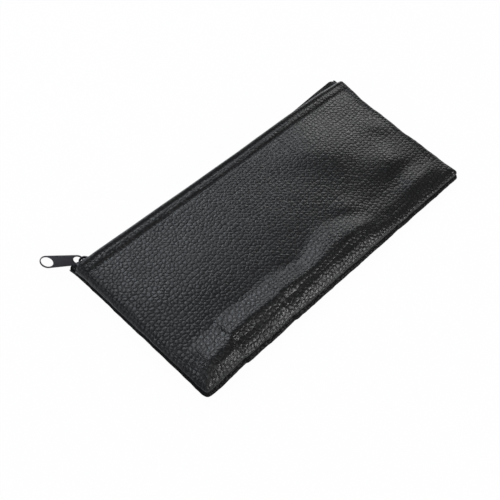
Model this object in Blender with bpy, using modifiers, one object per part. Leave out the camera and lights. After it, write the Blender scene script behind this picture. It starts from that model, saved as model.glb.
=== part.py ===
"""Zip pouch for carrying cash: two leatherette panels seamed round three sides, with a zip along the fourth.

It lies on its back panel, which is flat at z = 0. The zip runs along X at the +Y edge and faces +Y,
and the slider stands closed at the -X end. Every length is in metres.
"""

import math

import bmesh
import bpy
from mathutils import Matrix, Vector

# Bag
BAG_DEPTH = 0.131
FOOT_Y = -0.0665
FOOT_WIDTH = 0.2644
MOUTH_WIDTH = 0.2758
FRONT_FOOT_HEIGHT = 0.013
FRONT_CROWN = 0.0015
BACK_OVERHANG = 0.007
BACK_EDGE_LIFT = 0.0004
BACK_REST_SHARE = 0.7
FOOT_BOW = 0.0014
SIDE_BOW = 0.0012
MOUTH_BOW = 0.0007
LEATHERETTE = 0.0011
CORNER_RADIUS = 0.008
FRONT_ROLL_FOOT = 0.007
FRONT_ROLL_MOUTH = 0.004
BACK_ROLL = 0.0036

# Seam round the sides and the foot
SEAM_HEIGHT = 0.0046
SEAM_ALLOWANCE = 0.009
SEAM_TRIM_LENGTH = 0.012
SEAM_TRIMMED = 0.0019
SEAM_LIP = 0.0003
SEAM_LIP_RISE = 0.0009
SEAM_STITCH_INSET = 0.005

# Hems and sewing thread
HEM_WIDTH = 0.012
HEM_END_TAPER = 0.015
THREAD = 0.0005
EDGE_STITCH_INSET = 0.003
TAPE_STITCH_INSET = 0.0095
STITCH_END_GAP = 0.002

# Zip tape and teeth
ZIP_PROUD = 0.0009
TAPE_THICKNESS = 0.0005
TAPE_TUCK = 0.011
TAPE_BEND = 0.0006
TOOTH_PITCH = 0.00254
TOOTH_THICKNESS = 0.0022
TOOTH_NECK = 0.0006
TOOTH_HEAD = 0.00096
TOOTH_TIP = 0.0006
TOOTH_REACH = 0.0008
TOOTH_SHOULDER = 0.00045
SPINE_OFFSET = 0.00095
SPINE_WIDTH = 0.0018
STOP_LENGTH = 0.0014
STOP_DEPTH = 0.0018
STOP_END_GAP = 0.0006

# Slider and pull tab
SLIDER_LENGTH = 0.0094
SLIDER_WIDTH = 0.008
SLIDER_PLATE = 0.0009
SLIDER_CHAMFER = 0.0012
SLIDER_RAIL = 0.00085
SLIDER_SLOT = 0.0012
CHANNEL_CLEARANCE = 0.00035
WEDGE_LENGTH = 0.003
WEDGE_WIDTH = 0.0022
BAIL_WIDTH = 0.0022
BAIL_SPAN = 0.0084
BAIL_RISE = 0.0036
BAIL_THICKNESS = 0.0011
TAB_AXIS_RISE = 0.0023
TAB_LENGTH = 0.0225
TAB_THICKNESS = 0.0012
RING_RADIUS = 0.0052
RING_HOLE_RADIUS = 0.0045
EYE_RADIUS = 0.00415
EYE_HOLE_RADIUS = 0.0033
TAB_SWING = math.radians(44.7)
TAB_LEAN = math.radians(20)
TAB_DIP = math.radians(5.3)

# Gap between pieces that touch, and counts of facets
CLEARANCE = 0.0003
ROLL_STEPS = 4
CORNER_STEPS = 2
WIDTH_CELLS = 10
DEPTH_CELLS = 7
ARC_STEPS = 12

# Places that follow from the sizes above
FRONT_MOUTH_Y = FOOT_Y + BAG_DEPTH
BACK_MOUTH_Y = FRONT_MOUTH_Y + BACK_OVERHANG
HEM_THICKNESS = 2 * LEATHERETTE + CLEARANCE
TAPE_LEVEL = SLIDER_WIDTH / 2 + TAPE_BEND
ZIP_Y = FRONT_MOUTH_Y + ZIP_PROUD
ZIP_Z = BACK_EDGE_LIFT + HEM_THICKNESS + CLEARANCE + TAPE_THICKNESS / 2 + TAPE_LEVEL
FRONT_MOUTH_HEIGHT = 2 * ZIP_Z - BACK_EDGE_LIFT
CORNER_ZONE = SEAM_ALLOWANCE + CORNER_RADIUS
RINGS = ROLL_STEPS + 2
ZONE = RINGS + CORNER_STEPS
COLUMNS = 2 * (ZONE + WIDTH_CELLS)
ROWS = ZONE + DEPTH_CELLS
CHANNEL = TOOTH_THICKNESS + 2 * CHANNEL_CLEARANCE
SLIDER_FACE = CHANNEL / 2 + SLIDER_PLATE
TAPE_EDGE = SPINE_OFFSET + SPINE_WIDTH + CLEARANCE


def half_width(y):
    """Half the bag's width at y: the filling draws the foot in."""
    share = (y - FOOT_Y) / BAG_DEPTH
    return (FOOT_WIDTH + share * (MOUTH_WIDTH - FOOT_WIDTH)) / 2


ZIP_HALF = half_width(ZIP_Y) - SEAM_TRIMMED - CLEARANCE
STOP_X = ZIP_HALF - STOP_END_GAP - STOP_LENGTH / 2
SLIDER_X = -STOP_X + STOP_LENGTH / 2 + CLEARANCE + SLIDER_LENGTH / 2
TEETH_START = SLIDER_X - SLIDER_LENGTH / 2 + WEDGE_LENGTH + TOOTH_PITCH / 2
TEETH_END = STOP_X - STOP_LENGTH / 2 - TOOTH_PITCH


# Scene helpers
def material(name, colour, roughness, metallic=0.0):
    made = bpy.data.materials.new(name)
    made.use_nodes = True
    shader = made.node_tree.nodes["Principled BSDF"]
    shader.inputs["Base Color"].default_value = (*colour, 1.0)
    shader.inputs["Roughness"].default_value = roughness
    shader.inputs["Metallic"].default_value = metallic
    return made


def collection(name):
    made = bpy.data.collections.new(name)
    bpy.context.scene.collection.children.link(made)
    return made


def add(name, data, finish, where, parent=None):
    """Link an object that holds the data, with its material, into a collection."""
    obj = bpy.data.objects.new(name, data)
    where.objects.link(obj)
    obj.parent = parent
    if finish:
        data.materials.append(finish)
    return obj


def empty(name, location, where, rotation=(0, 0, 0)):
    made = bpy.data.objects.new(name, None)
    made.location = location
    made.rotation_euler = rotation
    where.objects.link(made)
    return made


def flat_outline(name, outlines, thickness):
    """A curve that fills the closed outlines, the later ones being holes, to a thickness about z = 0."""
    curve = bpy.data.curves.new(name, "CURVE")
    curve.dimensions = "2D"
    curve.fill_mode = "BOTH"
    curve.extrude = thickness / 2
    for points in outlines:
        spline = curve.splines.new("POLY")
        spline.points.add(len(points) - 1)
        for point, (x, y) in zip(spline.points, points):
            point.co = (x, y, 0, 1)
        spline.use_cyclic_u = True
    return curve


def tube(name, points, diameter):
    """A thread along the points, with filled ends."""
    curve = bpy.data.curves.new(name, "CURVE")
    curve.dimensions = "3D"
    curve.bevel_depth = diameter / 2
    curve.bevel_resolution = 1
    curve.use_fill_caps = True
    spline = curve.splines.new("POLY")
    spline.points.add(len(points) - 1)
    for point, place in zip(spline.points, points):
        point.co = (*place, 1)
    return curve


def as_mesh(curve_obj):
    """Turn a curve object into a welded mesh object of the same name and place."""
    bpy.context.view_layer.update()
    evaluated = curve_obj.evaluated_get(bpy.context.evaluated_depsgraph_get())
    mesh = bpy.data.meshes.new_from_object(evaluated)
    bm = bmesh.new()
    bm.from_mesh(mesh)
    bmesh.ops.remove_doubles(bm, verts=bm.verts, dist=1e-6)
    bmesh.ops.recalc_face_normals(bm, faces=bm.faces)
    bm.to_mesh(mesh)
    bm.free()
    name, where = curve_obj.name, curve_obj.users_collection[0]
    parent, matrix = curve_obj.parent, curve_obj.matrix_world.copy()
    bpy.data.objects.remove(curve_obj)
    made = bpy.data.objects.new(name, mesh)
    where.objects.link(made)
    made.parent = parent
    made.matrix_world = matrix
    return made


def arc(centre, radius, start, end, steps):
    return [
        (
            centre[0] + radius * math.cos(start + (end - start) * k / steps),
            centre[1] + radius * math.sin(start + (end - start) * k / steps),
        )
        for k in range(steps + 1)
    ]


# Panels
class Panel:
    """One panel: its seam, its rolled edge, its face and its hem, as places on a grid."""

    def __init__(self, mouth_y, side, roll, face_height, crown, level):
        self.mouth_y = mouth_y
        self.side = side
        self.flange_z = SEAM_HEIGHT + side * CLEARANCE / 2
        self.wall_z = SEAM_HEIGHT + side * SEAM_LIP_RISE
        self.roll = roll
        self.face_height = face_height
        self.crown = crown
        self.level = level

    def share(self, y):
        return (y - FOOT_Y) / (self.mouth_y - FOOT_Y)

    def inset(self, ring, y):
        """How far inside the bag's outline a ring of the grid lies at y."""
        if ring == 0:
            untrimmed = (FRONT_MOUTH_Y - TAPE_TUCK - y) / SEAM_TRIM_LENGTH
            return SEAM_TRIMMED + min(1.0, max(0.0, untrimmed)) * (SEAM_ALLOWANCE - SEAM_TRIMMED)
        if ring == 1:
            return SEAM_LIP
        roll = self.roll[0] + self.share(y) * (self.roll[1] - self.roll[0])
        return roll * (1 - math.cos(math.pi / 2 * (ring - 2) / ROLL_STEPS))

    def height(self, ring, y):
        if ring < 2:
            return self.flange_z
        top = self.face_height[0] + self.share(y) * (self.face_height[1] - self.face_height[0])
        return self.wall_z + (top - self.wall_z) * math.sin(math.pi / 2 * (ring - 2) / ROLL_STEPS)

    def corner(self, ring, index):
        """Distances in from the two edges that meet at a corner, for a step along a ring."""
        inset = self.inset(ring, FOOT_Y + CORNER_ZONE)
        radius = max(CORNER_RADIUS - inset, LEATHERETTE)
        bend = radius * math.pi / 4
        run = (bend + CORNER_ZONE - inset - radius) * (index - ring) / (ZONE - ring)
        if run < bend:
            angle = math.pi / 4 - run / radius
            return inset + radius * (1 - math.cos(angle)), inset + radius * (1 - math.sin(angle))
        return inset, inset + radius + run - bend

    def row_y(self, ring, row):
        if row <= ZONE:
            return FOOT_Y + self.corner(ring, row)[1]
        start = FOOT_Y + CORNER_ZONE
        return start + (self.mouth_y - start) * (row - ZONE) / DEPTH_CELLS

    def column_inset(self, ring, column, y):
        if column <= ZONE:
            return self.corner(ring, column)[1]
        return CORNER_ZONE + (half_width(y) - CORNER_ZONE) * (column - ZONE) / WIDTH_CELLS

    def place(self, column, row):
        """Where a grid point of the flat cloth goes on the made-up panel."""
        mirror = -1 if column <= COLUMNS / 2 else 1
        column = min(column, COLUMNS - column)
        ring = min(column, row, RINGS)
        if row == ring and column > ring and ring < RINGS:
            inset, up = self.column_inset(ring, column, FOOT_Y), self.inset(ring, FOOT_Y + CORNER_ZONE)
            if column <= ZONE:
                up = self.corner(ring, column)[0]
            y = FOOT_Y + up
            if column > ZONE:
                inset = self.column_inset(ring, column, y)
        else:
            y = self.row_y(ring, row)
            inset = self.inset(ring, y) if row > ZONE else self.corner(ring, row)[0]
            if column > ring:
                inset = self.column_inset(ring, column, y)
        x = mirror * (half_width(y) - inset)
        z = self.height(ring, y) + self.swell(x, y)
        return Vector((*self.draw_in(x, y), z))

    def draw_in(self, x, y):
        """Where a point goes when the filling pulls the edges in between the corners."""
        along = self.share(y)
        bow = (FOOT_BOW * (1 - along) - MOUTH_BOW * along) * (1 - (x / half_width(y)) ** 2)
        return x * (1 - 4 * along * (1 - along) * SIDE_BOW / half_width(y)), y + bow

    def swell(self, x, y):
        """Rise of the face above its edges, which is none along the hem and the rolled edges."""
        across = abs(x) / (half_width(y) - self.roll[0])
        along = (y - FOOT_Y - self.roll[0]) / (self.mouth_y - HEM_WIDTH - FOOT_Y - self.roll[0])
        if across >= 1 or not 0 < along < 1:
            return 0.0
        return self.crown * min(1.0, (1 - across**2) * math.sin(math.pi * along) ** 2 / self.level)

    def mesh(self, name):
        bm = bmesh.new()
        bmesh.ops.create_grid(bm, x_segments=COLUMNS, y_segments=ROWS, size=1)
        grid = {}
        for vert in bm.verts:
            column = round((vert.co.x + 1) / 2 * COLUMNS)
            row = round((vert.co.y + 1) / 2 * ROWS)
            grid[column, row] = vert
        for (column, row), vert in grid.items():
            vert.co = self.place(column, row)
        self.fold_hem(bm, grid)
        if self.side < 0:
            bmesh.ops.reverse_faces(bm, faces=bm.faces)
        mesh = bpy.data.meshes.new(name)
        bm.to_mesh(mesh)
        bm.free()
        mesh.shade_smooth()
        return mesh

    def fold_hem(self, bm, grid):
        """Fold the zip edge over towards the inside of the bag and lay the hem along the panel."""
        last = [grid[column, ROWS] for column in range(RINGS, COLUMNS - RINGS + 1)]
        turn = Vector((0, LEATHERETTE / 2, -self.side * HEM_THICKNESS / 2))
        back = Vector((0, -LEATHERETTE / 2, -self.side * HEM_THICKNESS / 2))
        for step in (turn, back, Vector((0, -HEM_WIDTH, 0))):
            fresh = [bm.verts.new(vert.co + step) for vert in last]
            if step.z == 0:
                bmesh.ops.scale(bm, verts=fresh, vec=(1 - HEM_END_TAPER, 1, 1))
            for k in range(len(last) - 1):
                bm.faces.new((last[k], last[k + 1], fresh[k + 1], fresh[k]))
            last = fresh


def add_panel(name, panel, finish, where):
    obj = add(name, panel.mesh(name), finish, where)
    cloth = obj.modifiers.new("leatherette", "SOLIDIFY")
    cloth.thickness = LEATHERETTE
    cloth.offset = -1
    cloth.use_even_offset = True
    return obj


# Zip
def tape_profile(side):
    """A tape's middle line, from the teeth round a bend to its edge inside the bag: half length, y and z."""
    bend = arc(
        (ZIP_Y - TAPE_BEND, ZIP_Z + side * SLIDER_WIDTH / 2), TAPE_BEND, 0, side * math.pi / 2, ROLL_STEPS
    )
    mouth_y = FRONT_MOUTH_Y if side > 0 else BACK_MOUTH_Y
    inner_y = mouth_y - TAPE_TUCK
    inner_half = half_width(inner_y) - FRONT_ROLL_FOOT
    edge = (ZIP_HALF, ZIP_Y, ZIP_Z + side * TAPE_EDGE)
    turned = [(ZIP_HALF - LEATHERETTE * k / ROLL_STEPS, y, z) for k, (y, z) in enumerate(bend)]
    return [edge, *turned, (inner_half, inner_y, ZIP_Z + side * TAPE_LEVEL)]


def add_tape(name, side, finish, where):
    """A strip along the zip: the tape's middle line at one end joined to the same line at the other."""
    bm = bmesh.new()
    profile = tape_profile(side)
    left = [bm.verts.new((-half, y, z)) for half, y, z in profile]
    right = [bm.verts.new((half, y, z)) for half, y, z in profile]
    for k in range(len(profile) - 1):
        bm.faces.new((left[k], right[k], right[k + 1], left[k + 1]))
    mesh = bpy.data.meshes.new(name)
    bm.to_mesh(mesh)
    bm.free()
    obj = add(name, mesh, finish, where)
    weave = obj.modifiers.new("weave", "SOLIDIFY")
    weave.thickness = TAPE_THICKNESS
    weave.offset = 0
    weave.use_even_offset = True
    return obj


def tooth(x, side):
    """A tooth that widens to a head past the zip's centre line, so that it locks behind its neighbours."""
    steps = (
        (-TOOTH_NECK / 2, -SPINE_OFFSET),
        (-TOOTH_HEAD / 2, TOOTH_SHOULDER),
        (-TOOTH_TIP / 2, TOOTH_REACH),
        (TOOTH_TIP / 2, TOOTH_REACH),
        (TOOTH_HEAD / 2, TOOTH_SHOULDER),
        (TOOTH_NECK / 2, -SPINE_OFFSET),
    )
    return [(x + dx, side * dy) for dx, dy in steps]


def add_teeth(name, side, finish, where, parent):
    """A row of teeth on its spine; the two rows are half a pitch apart."""
    shift = 0 if side > 0 else TOOTH_PITCH / 2
    count = int((TEETH_END - TEETH_START - shift) / TOOTH_PITCH)
    margin = TOOTH_PITCH / 4
    points = []
    for k in range(count + 1):
        points += tooth(TEETH_START + shift + k * TOOTH_PITCH, side)
    outer = -side * (SPINE_OFFSET + SPINE_WIDTH)
    points.append((points[-1][0] + margin, points[-1][1]))
    points.append((points[-1][0], outer))
    points.append((points[0][0] - margin, outer))
    points.append((points[0][0] - margin, points[0][1]))
    return add(name, flat_outline(name, [points], TOOTH_THICKNESS), finish, where, parent)


SIDEWAYS = Matrix(((0, 0, 1, 0), (1, 0, 0, 0), (0, 1, 0, 0), (0, 0, 0, 1)))


def add_top_stop(name, side, finish, where, parent):
    """A clip round a tape's edge, just past the slider's nose."""
    half_slot = TAPE_THICKNESS / 2 + CLEARANCE
    inner, floor, outer = TAPE_EDGE - STOP_DEPTH / 2, TAPE_EDGE - CLEARANCE, TAPE_EDGE + STOP_DEPTH / 2
    points = [
        (inner, -SLIDER_FACE),
        (outer, -SLIDER_FACE),
        (outer, -half_slot),
        (floor, -half_slot),
        (floor, half_slot),
        (outer, half_slot),
        (outer, SLIDER_FACE),
        (inner, SLIDER_FACE),
    ]
    outline = [(-side * y, z) for y, z in points]
    obj = add(name, flat_outline(name, [outline], STOP_LENGTH), finish, where, parent)
    obj.matrix_basis = Matrix.Translation((-STOP_X, 0, 0)) @ SIDEWAYS
    return obj


def add_bottom_stop(name, finish, where, parent):
    """A bar across both tapes, which ends the slider's travel."""
    reach = TAPE_EDGE + STOP_DEPTH / 2
    low = TAPE_THICKNESS / 2 + CLEARANCE
    outline = [(-reach, low), (reach, low), (reach, SLIDER_FACE), (-reach, SLIDER_FACE)]
    obj = add(name, flat_outline(name, [outline], STOP_LENGTH), finish, where, parent)
    obj.matrix_basis = Matrix.Translation((STOP_X, 0, 0)) @ SIDEWAYS
    return obj


# Slider
def slider_outline():
    length, width = SLIDER_LENGTH / 2, SLIDER_WIDTH / 2
    corner_x, corner_y = length - SLIDER_CHAMFER, width - SLIDER_CHAMFER
    quarter = [(length, corner_y), (corner_x, width)]
    half = quarter + [(-x, y) for x, y in reversed(quarter)]
    return half + [(x, -y) for x, y in reversed(half)]


def bail_outline():
    """An arch that stands on the slider's face, with its feet sunk into the plate."""
    foot = -SLIDER_PLATE / 2
    outer = [
        (BAIL_SPAN / 2 * math.cos(a), (BAIL_RISE + BAIL_THICKNESS) * math.sin(a))
        for a in (math.pi * k / ARC_STEPS for k in range(ARC_STEPS + 1))
    ]
    inner = [
        ((BAIL_SPAN / 2 - BAIL_THICKNESS) * math.cos(a), BAIL_RISE * math.sin(a))
        for a in (math.pi * k / ARC_STEPS for k in range(ARC_STEPS, -1, -1))
    ]
    left_feet = [(outer[-1][0], foot), (inner[0][0], foot)]
    right_feet = [(inner[-1][0], foot), (outer[0][0], foot)]
    return outer + left_feet + inner + right_feet


def add_slider(name, finish, where, cutters, parent):
    """Two plates joined by a wedge at the nose, four rails along their edges, and the bail."""
    body = as_mesh(add(name, flat_outline(name, [slider_outline()], SLIDER_PLATE), finish, where, parent))
    body.location = (SLIDER_X, 0, CHANNEL / 2 + SLIDER_PLATE / 2)
    sunk = SLIDER_PLATE / 3
    inner = flat_outline("inner_plate", [slider_outline()], SLIDER_PLATE)
    nose = -SLIDER_LENGTH / 2 + CLEARANCE
    wedge_points = [(nose, -WEDGE_WIDTH / 2), (nose + WEDGE_LENGTH - CLEARANCE, 0), (nose, WEDGE_WIDTH / 2)]
    wedge = flat_outline("wedge", [wedge_points], CHANNEL + 2 * sunk)
    bail = flat_outline("bail", [bail_outline()], BAIL_WIDTH)
    upright = Matrix.Rotation(math.pi / 2, 4, "X")
    pieces = [
        (inner, Matrix.Translation((SLIDER_X, 0, -CHANNEL / 2 - SLIDER_PLATE / 2))),
        (wedge, Matrix.Translation((SLIDER_X, 0, 0))),
        (bail, Matrix.Translation((SLIDER_X, 0, SLIDER_FACE)) @ upright),
    ]
    rail_x = SLIDER_LENGTH / 2 - SLIDER_CHAMFER
    rail_height = (CHANNEL - SLIDER_SLOT) / 2 + sunk
    rail_y = (SLIDER_WIDTH - SLIDER_RAIL) / 2
    rail_z = (SLIDER_SLOT + rail_height) / 2
    for y in (-rail_y, rail_y):
        for z in (-rail_z, rail_z):
            side = SLIDER_RAIL / 2
            corners = [(-rail_x, -side), (rail_x, -side), (rail_x, side), (-rail_x, side)]
            rail = flat_outline("rail", [corners], rail_height)
            pieces.append((rail, Matrix.Translation((SLIDER_X, y, z))))
    for data, matrix in pieces:
        piece = add(data.name, data, None, cutters, parent)
        piece.matrix_basis = matrix
        piece = as_mesh(piece)
        piece.hide_render = True
        piece.display_type = "WIRE"
        join = body.modifiers.new(piece.name, "BOOLEAN")
        join.operation = "UNION"
        join.object = piece
    return body


# Pull tab
def add_tab(name, finish, where):
    """A tapered plate between a ring and an eye; its origin lies in the eye's rim, under the bail."""
    eye_x = (EYE_RADIUS + EYE_HOLE_RADIUS) / 2
    ring_x = eye_x + TAB_LENGTH
    tangent = math.acos((RING_RADIUS - EYE_RADIUS) / TAB_LENGTH)
    turn = math.pi - tangent
    ring = arc((ring_x, 0), RING_RADIUS, -turn, turn, 2 * ARC_STEPS)
    eye = arc((eye_x, 0), EYE_RADIUS, turn, 2 * math.pi - turn, 2 * ARC_STEPS)
    ring_hole = arc((ring_x, 0), RING_HOLE_RADIUS, 0, 2 * math.pi, 2 * ARC_STEPS)[:-1]
    eye_hole = arc((eye_x, 0), EYE_HOLE_RADIUS, 0, 2 * math.pi, 2 * ARC_STEPS)[:-1]
    curve = flat_outline(name, [ring + eye, ring_hole, eye_hole], TAB_THICKNESS)
    obj = add(name, curve, finish, where)
    axis_place = Matrix.Translation((SLIDER_X, ZIP_Y + SLIDER_FACE + TAB_AXIS_RISE, ZIP_Z))
    swing = Matrix.Rotation(math.pi - TAB_SWING, 4, "Z")
    on_edge = Matrix.Rotation(math.pi / 2 + TAB_LEAN, 4, "X")
    dip = Matrix.Rotation(-TAB_DIP, 4, "Z")
    obj.matrix_world = axis_place @ swing @ on_edge @ dip
    return obj


# Sewing thread
def add_hem_stitch(name, y, z, finish, where):
    reach = half_width(FRONT_MOUTH_Y) - FRONT_ROLL_FOOT - STITCH_END_GAP
    return add(name, tube(name, [(-reach, y, z), (reach, y, z)], THREAD), finish, where)


def add_seam_stitch(name, finish, where):
    """The thread round the three seamed sides, on the front panel's seam allowance."""
    z = SEAM_HEIGHT + CLEARANCE / 2 + LEATHERETTE + CLEARANCE + THREAD / 2
    top_y = FRONT_MOUTH_Y - 2 * SEAM_TRIM_LENGTH
    foot_y = FOOT_Y + SEAM_STITCH_INSET
    bend = CORNER_RADIUS / 2
    left = []
    for across, up in arc((bend, bend), bend, math.pi, 1.5 * math.pi, ROLL_STEPS):
        y = foot_y + up
        left.append((-(half_width(y) - SEAM_STITCH_INSET - across), y, z))
    left.insert(0, (-(half_width(top_y) - SEAM_STITCH_INSET), top_y, z))
    right = [(-x, y, z) for x, y, z in reversed(left)]
    return add(name, tube(name, left + right, THREAD), finish, where)


def build():
    for obj in list(bpy.data.objects):
        bpy.data.objects.remove(obj)
    bag = collection("cash_deposit_bag")
    cutters = collection("cutters")

    leatherette = material("leatherette", (0.028, 0.028, 0.031), 0.45)
    tape = material("zip_tape", (0.012, 0.012, 0.013), 0.9)
    teeth = material("zip_teeth", (0.015, 0.015, 0.016), 0.4)
    enamel = material("enamelled_metal", (0.035, 0.033, 0.042), 0.35, 0.6)
    thread = material("thread", (0.02, 0.02, 0.022), 0.7)

    front_roll = (FRONT_ROLL_FOOT, FRONT_ROLL_MOUTH)
    front_height = (FRONT_FOOT_HEIGHT, FRONT_MOUTH_HEIGHT)
    back_height = (BACK_EDGE_LIFT, BACK_EDGE_LIFT)
    front = Panel(FRONT_MOUTH_Y, 1, front_roll, front_height, FRONT_CROWN, 1.0)
    back = Panel(BACK_MOUTH_Y, -1, (BACK_ROLL, BACK_ROLL), back_height, -BACK_EDGE_LIFT, BACK_REST_SHARE)
    add_panel("front_panel", front, leatherette, bag)
    add_panel("back_panel", back, leatherette, bag)

    zip_frame = empty("zip_frame", (0, ZIP_Y, ZIP_Z), bag, (-math.pi / 2, 0, 0))
    add_tape("front_zip_tape", 1, tape, bag)
    add_tape("back_zip_tape", -1, tape, bag)
    add_teeth("front_zip_teeth", 1, teeth, bag, zip_frame)
    add_teeth("back_zip_teeth", -1, teeth, bag, zip_frame)
    add_top_stop("front_top_stop", 1, enamel, bag, zip_frame)
    add_top_stop("back_top_stop", -1, enamel, bag, zip_frame)
    add_bottom_stop("bottom_stop", enamel, bag, zip_frame)
    add_slider("slider_body", enamel, bag, cutters, zip_frame)
    add_tab("pull_tab", enamel, bag)

    lift = CLEARANCE + THREAD / 2
    edge_y = FRONT_MOUTH_Y - EDGE_STITCH_INSET
    tape_y = FRONT_MOUTH_Y - TAPE_STITCH_INSET
    on_tape = ZIP_Z - TAPE_LEVEL + TAPE_THICKNESS / 2 + lift
    add_hem_stitch("front_hem_edge_stitch", edge_y, front.height(RINGS, edge_y) + lift, thread, bag)
    add_hem_stitch("front_hem_tape_stitch", tape_y, front.height(RINGS, tape_y) + lift, thread, bag)
    add_hem_stitch("back_hem_tape_stitch", BACK_MOUTH_Y - TAPE_STITCH_INSET, on_tape, thread, bag)
    add_seam_stitch("seam_stitch", thread, bag)


build()
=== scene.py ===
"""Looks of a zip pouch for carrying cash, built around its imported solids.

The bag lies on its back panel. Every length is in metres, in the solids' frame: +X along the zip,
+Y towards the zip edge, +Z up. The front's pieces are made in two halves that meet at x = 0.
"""

import math

import bmesh
import bpy
import numpy as np
from mathutils import Matrix, Vector, noise


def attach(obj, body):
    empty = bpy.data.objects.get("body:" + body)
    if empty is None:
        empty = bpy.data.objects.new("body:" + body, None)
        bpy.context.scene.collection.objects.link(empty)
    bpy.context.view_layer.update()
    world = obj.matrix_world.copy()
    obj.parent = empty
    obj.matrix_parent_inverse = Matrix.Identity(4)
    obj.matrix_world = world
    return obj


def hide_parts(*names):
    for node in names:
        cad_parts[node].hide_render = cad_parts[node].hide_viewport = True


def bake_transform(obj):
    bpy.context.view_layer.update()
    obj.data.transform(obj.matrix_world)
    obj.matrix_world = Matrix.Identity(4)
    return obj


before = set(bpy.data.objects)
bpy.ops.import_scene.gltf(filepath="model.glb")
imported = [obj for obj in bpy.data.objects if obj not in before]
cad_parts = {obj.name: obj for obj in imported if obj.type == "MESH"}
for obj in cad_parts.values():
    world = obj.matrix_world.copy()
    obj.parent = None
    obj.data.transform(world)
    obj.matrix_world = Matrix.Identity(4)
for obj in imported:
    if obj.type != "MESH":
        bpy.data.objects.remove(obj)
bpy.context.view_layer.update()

# Camera
CAMERA_PLACE = (-0.21921, -0.19618, 0.39497)
CAMERA_TURN = (math.radians(90 - 55.7813), 0.0, math.radians(-43.8163))
FOCAL_PIXELS = 650
IMAGE_PIXELS = 500
SENSOR = 36.0
CAMERA_NEAR = 0.01

# Bag, as in the solids
FOOT_Y = -0.0665
FRONT_MOUTH_Y = 0.0645
BACK_MOUTH_Y = 0.0715
BAG_DEPTH = FRONT_MOUTH_Y - FOOT_Y
FOOT_WIDTH = 0.2644
MOUTH_WIDTH = 0.2758
FRONT_FOOT_HEIGHT = 0.013
FRONT_MOUTH_HEIGHT = 0.0157
FRONT_CROWN = 0.0015
BACK_EDGE_LIFT = 0.0004
MOUTH_BOW = 0.0007
FRONT_ROLL_FOOT = 0.007
FRONT_ROLL_MOUTH = 0.004
BACK_ROLL = 0.0036
SEAM_HEIGHT = 0.0046
SEAM_ALLOWANCE = 0.009
SEAM_TRIM_LENGTH = 0.012
SEAM_TRIMMED = 0.0019
SEAM_STITCH_INSET = 0.005
HEM_WIDTH = 0.012
HEM_THICKNESS = 0.0025
EDGE_STITCH_INSET = 0.003
TAPE_STITCH_INSET = 0.0095
CLEARANCE = 0.0003

# Straighter edges and sharper corners than the solids have
FOOT_BOW = 0.0001
SIDE_BOW = 0.0001
CORNER_RADIUS = 0.004

# Leatherette as it is sewn: its skin, the sunk seam, the rolled edges and the hems
SKIN = 0.0008
SEAM_RECESS = 0.0024
SEAM_RECESS_HEIGHT = 0.0011
FRONT_SETBACK = 0.0004
BACK_BULGE = 0.0016
ROLL_POWER = 1.15
FOOT_CHAMFER = 0.45
FOOT_CHAMFER_REACH = 0.05
HEM_STEP = 0.0009
HEM_TILT_FROM = 0.0025
HEM_FADE = (0.003, 0.008)
HEM_NARROWING = 0.015
HEM_FOLLOWS = 0.3
STITCH_GROOVE = 0.0007
STITCH_GROOVE_WIDTH = 0.0011

# Edges that stand out from the even outline or lie inside it: SIDE_OUT and the EAR pairs are for the left
# and the right side, a SPAN or BAND is from and to, and a PLACE is middle and reach
EDGE_BAND = (0.004, 0.02)
FOOT_OUT = 0.0007
FOOT_LEAN = 0.0014
FOOT_TUCK = 0.0034
FOOT_TUCK_FADE = 0.012
SIDE_OUT = (0.0006, -0.0006)
SIDE_DENT = 0.0011
SIDE_DENT_PLACE = (-0.012, 0.013)
EAR = (0.0002, 0.0020)
EAR_REACH = (0.014, 0.045)
MOUTH_EAR = 0.0055
MOUTH_EAR_REACH = 0.019
BACK_MOUTH_EAR = 0.0055
FRONT_CORNER = 0.0016
FRONT_CORNER_SPAN = (0.1285, 0.1375)
BACK_CORNER = 0.004
BACK_FLARE = 0.0066
BACK_FLARE_FROM = 0.02
BACK_FLARE_RUN = 0.115
BACK_FLARE_POWER = 1.6
BACK_FLARE_LEFT = 0.0042
BACK_FLARE_LEFT_SPAN = (0.118, 0.134)
BACK_END_DROP = 0.62
BACK_END_DROP_RUN = 0.005
BACK_END_HEM = 0.66
BACK_END_HEM_MIDDLE = -0.01
BACK_END_HEM_SPAN = (0.05, 0.085)
BACK_REST_BAND = (0.006, 0.02)
BACK_RUCK = 0.0001
BACK_RUCK_SPAN = (0.0, 0.4)

# Noise over the cloth: height (in mm for RUMPLES, a share for the back), waves to the metre and seed
EDGE_WAVES = ((0.00035, 110, 3.3), (0.0002, 300, 7.7))
RUMPLES = ((0.16, 55, 1.7), (0.06, 160, 4.2))
BACK_RUCKS = ((1.0, 60, 8.1),)
BACK_PATCHES = ((1.0, 25, 2.2),)

# Zip, as in the solids
ZIP_Y = 0.0654
ZIP_Z = 0.00805
TAPE_LEVEL = 0.0046
TAPE_THICKNESS = 0.0005
TAPE_TUCK = 0.011
TAPE_BEND = 0.0006
SLIDER_WIDTH = 0.008
SLIDER_LENGTH = 0.0094
SLIDER_PLATE = 0.0009
SLIDER_X = -0.12874
CHANNEL = 0.0029
SLIDER_FACE = CHANNEL / 2 + SLIDER_PLATE
SLIDER_RAIL = 0.00085
SLIDER_SLOT = 0.0012
WEDGE_LENGTH = 0.003
WEDGE_WIDTH = 0.0022
BAIL_WIDTH = 0.0022
BAIL_SPAN = 0.0084
BAIL_RISE = 0.0036
BAIL_THICKNESS = 0.0011
TAPE_EDGE = 0.00305
TOOTH_PITCH = 0.00254
TOOTH_THICKNESS = 0.0022
STOP_X = 0.13444
STOP_LENGTH = 0.0014
TAB_AXIS_RISE = 0.0023
TAB_LENGTH = 0.0225
TAB_THICKNESS = 0.0012
RING_RADIUS = 0.0052
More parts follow.
